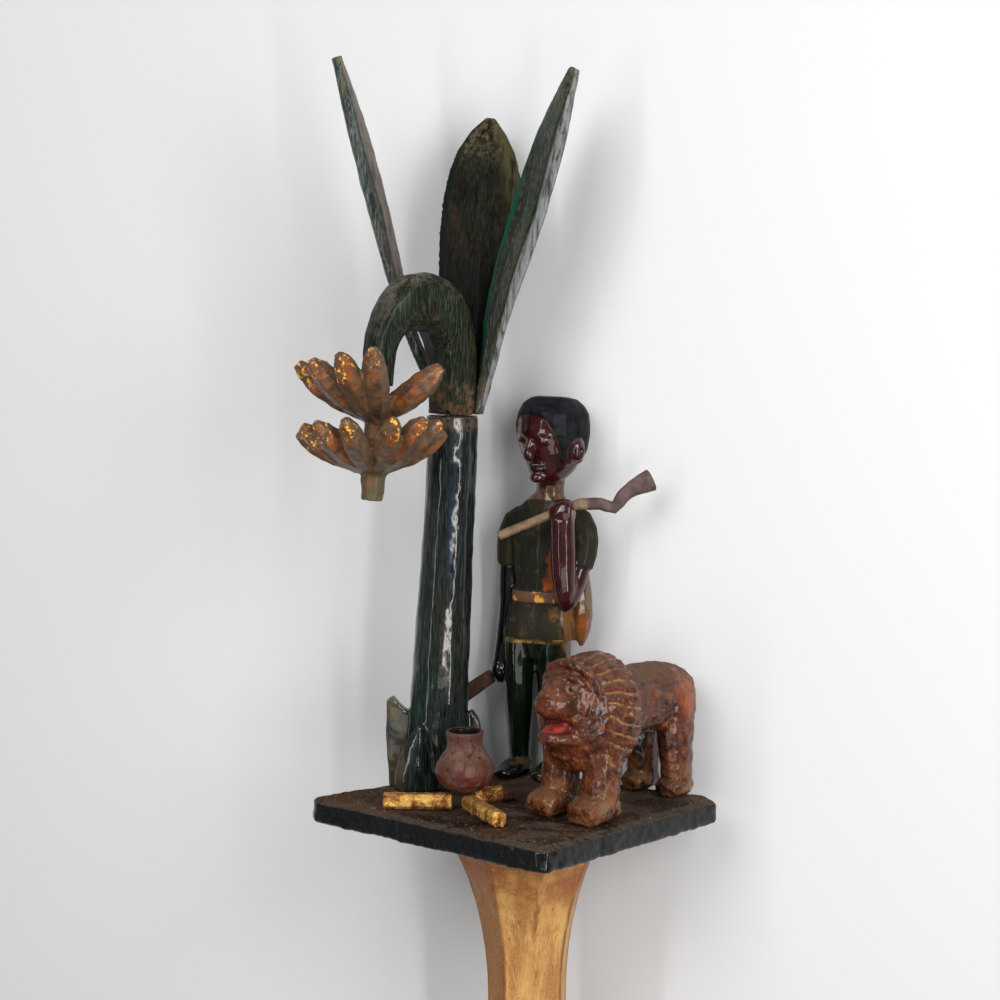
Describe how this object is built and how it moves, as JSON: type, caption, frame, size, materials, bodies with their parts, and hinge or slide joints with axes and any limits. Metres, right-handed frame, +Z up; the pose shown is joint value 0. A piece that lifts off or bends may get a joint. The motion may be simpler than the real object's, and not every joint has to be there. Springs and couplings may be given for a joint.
{
  "type": "linguist staff",
  "caption": "Octagonal gilded staff topped by a carved slab with a plantain tree in fruit, a hunter with gun and knife, a lion, and a pot on firewood; lies on its back.",
  "frame": {"origin": "middle of the bounding box in X and Y, on the floor that the staff lies on", "axes": "+X along the staff from its foot to the leaf tips, +Z up, with the front of the carved group facing up and +Y to the left of the group"},
  "size_m": [1.6506, 0.1802, 0.133],
  "materials": {
    "shaft_gilding": "old rubbed gold leaf on wood, satin",
    "slab_paint": "dark green-black paint, glossy on the sides and dusty on top",
    "tree_paint": "dark green varnished paint, worn",
    "fruit_paint": "brown-orange glaze over gold leaf, glossy and dusty",
    "hunter_paint": "dark varnished paint, glossy",
    "gun_paint": "dull brown paint",
    "knife_paint": "dull dark brown paint",
    "lion_paint": "red-brown glaze over gold leaf, glossy",
    "pot_paint": "dusty mauve-brown paint",
    "log_gold_leaf": "bright gold leaf"
  },
  "bodies": {
    "root": {"shaft": "shaft_gilding", "slab": "slab_paint", "tree_trunk": "tree_paint", "fruit_stalk": "tree_paint", "leaf_left": "tree_paint", "leaf_back": "tree_paint", "leaf_right": "tree_paint", "plantain_bunch": "fruit_paint", "hunter": "hunter_paint", "gun": "gun_paint", "long_knife": "knife_paint", "lion": "lion_paint", "cooking_pot": "pot_paint", "firewood_log_left": "log_gold_leaf", "firewood_log_front": "log_gold_leaf", "firewood_log_right": "log_gold_leaf"}
  },
  "joints": []
}
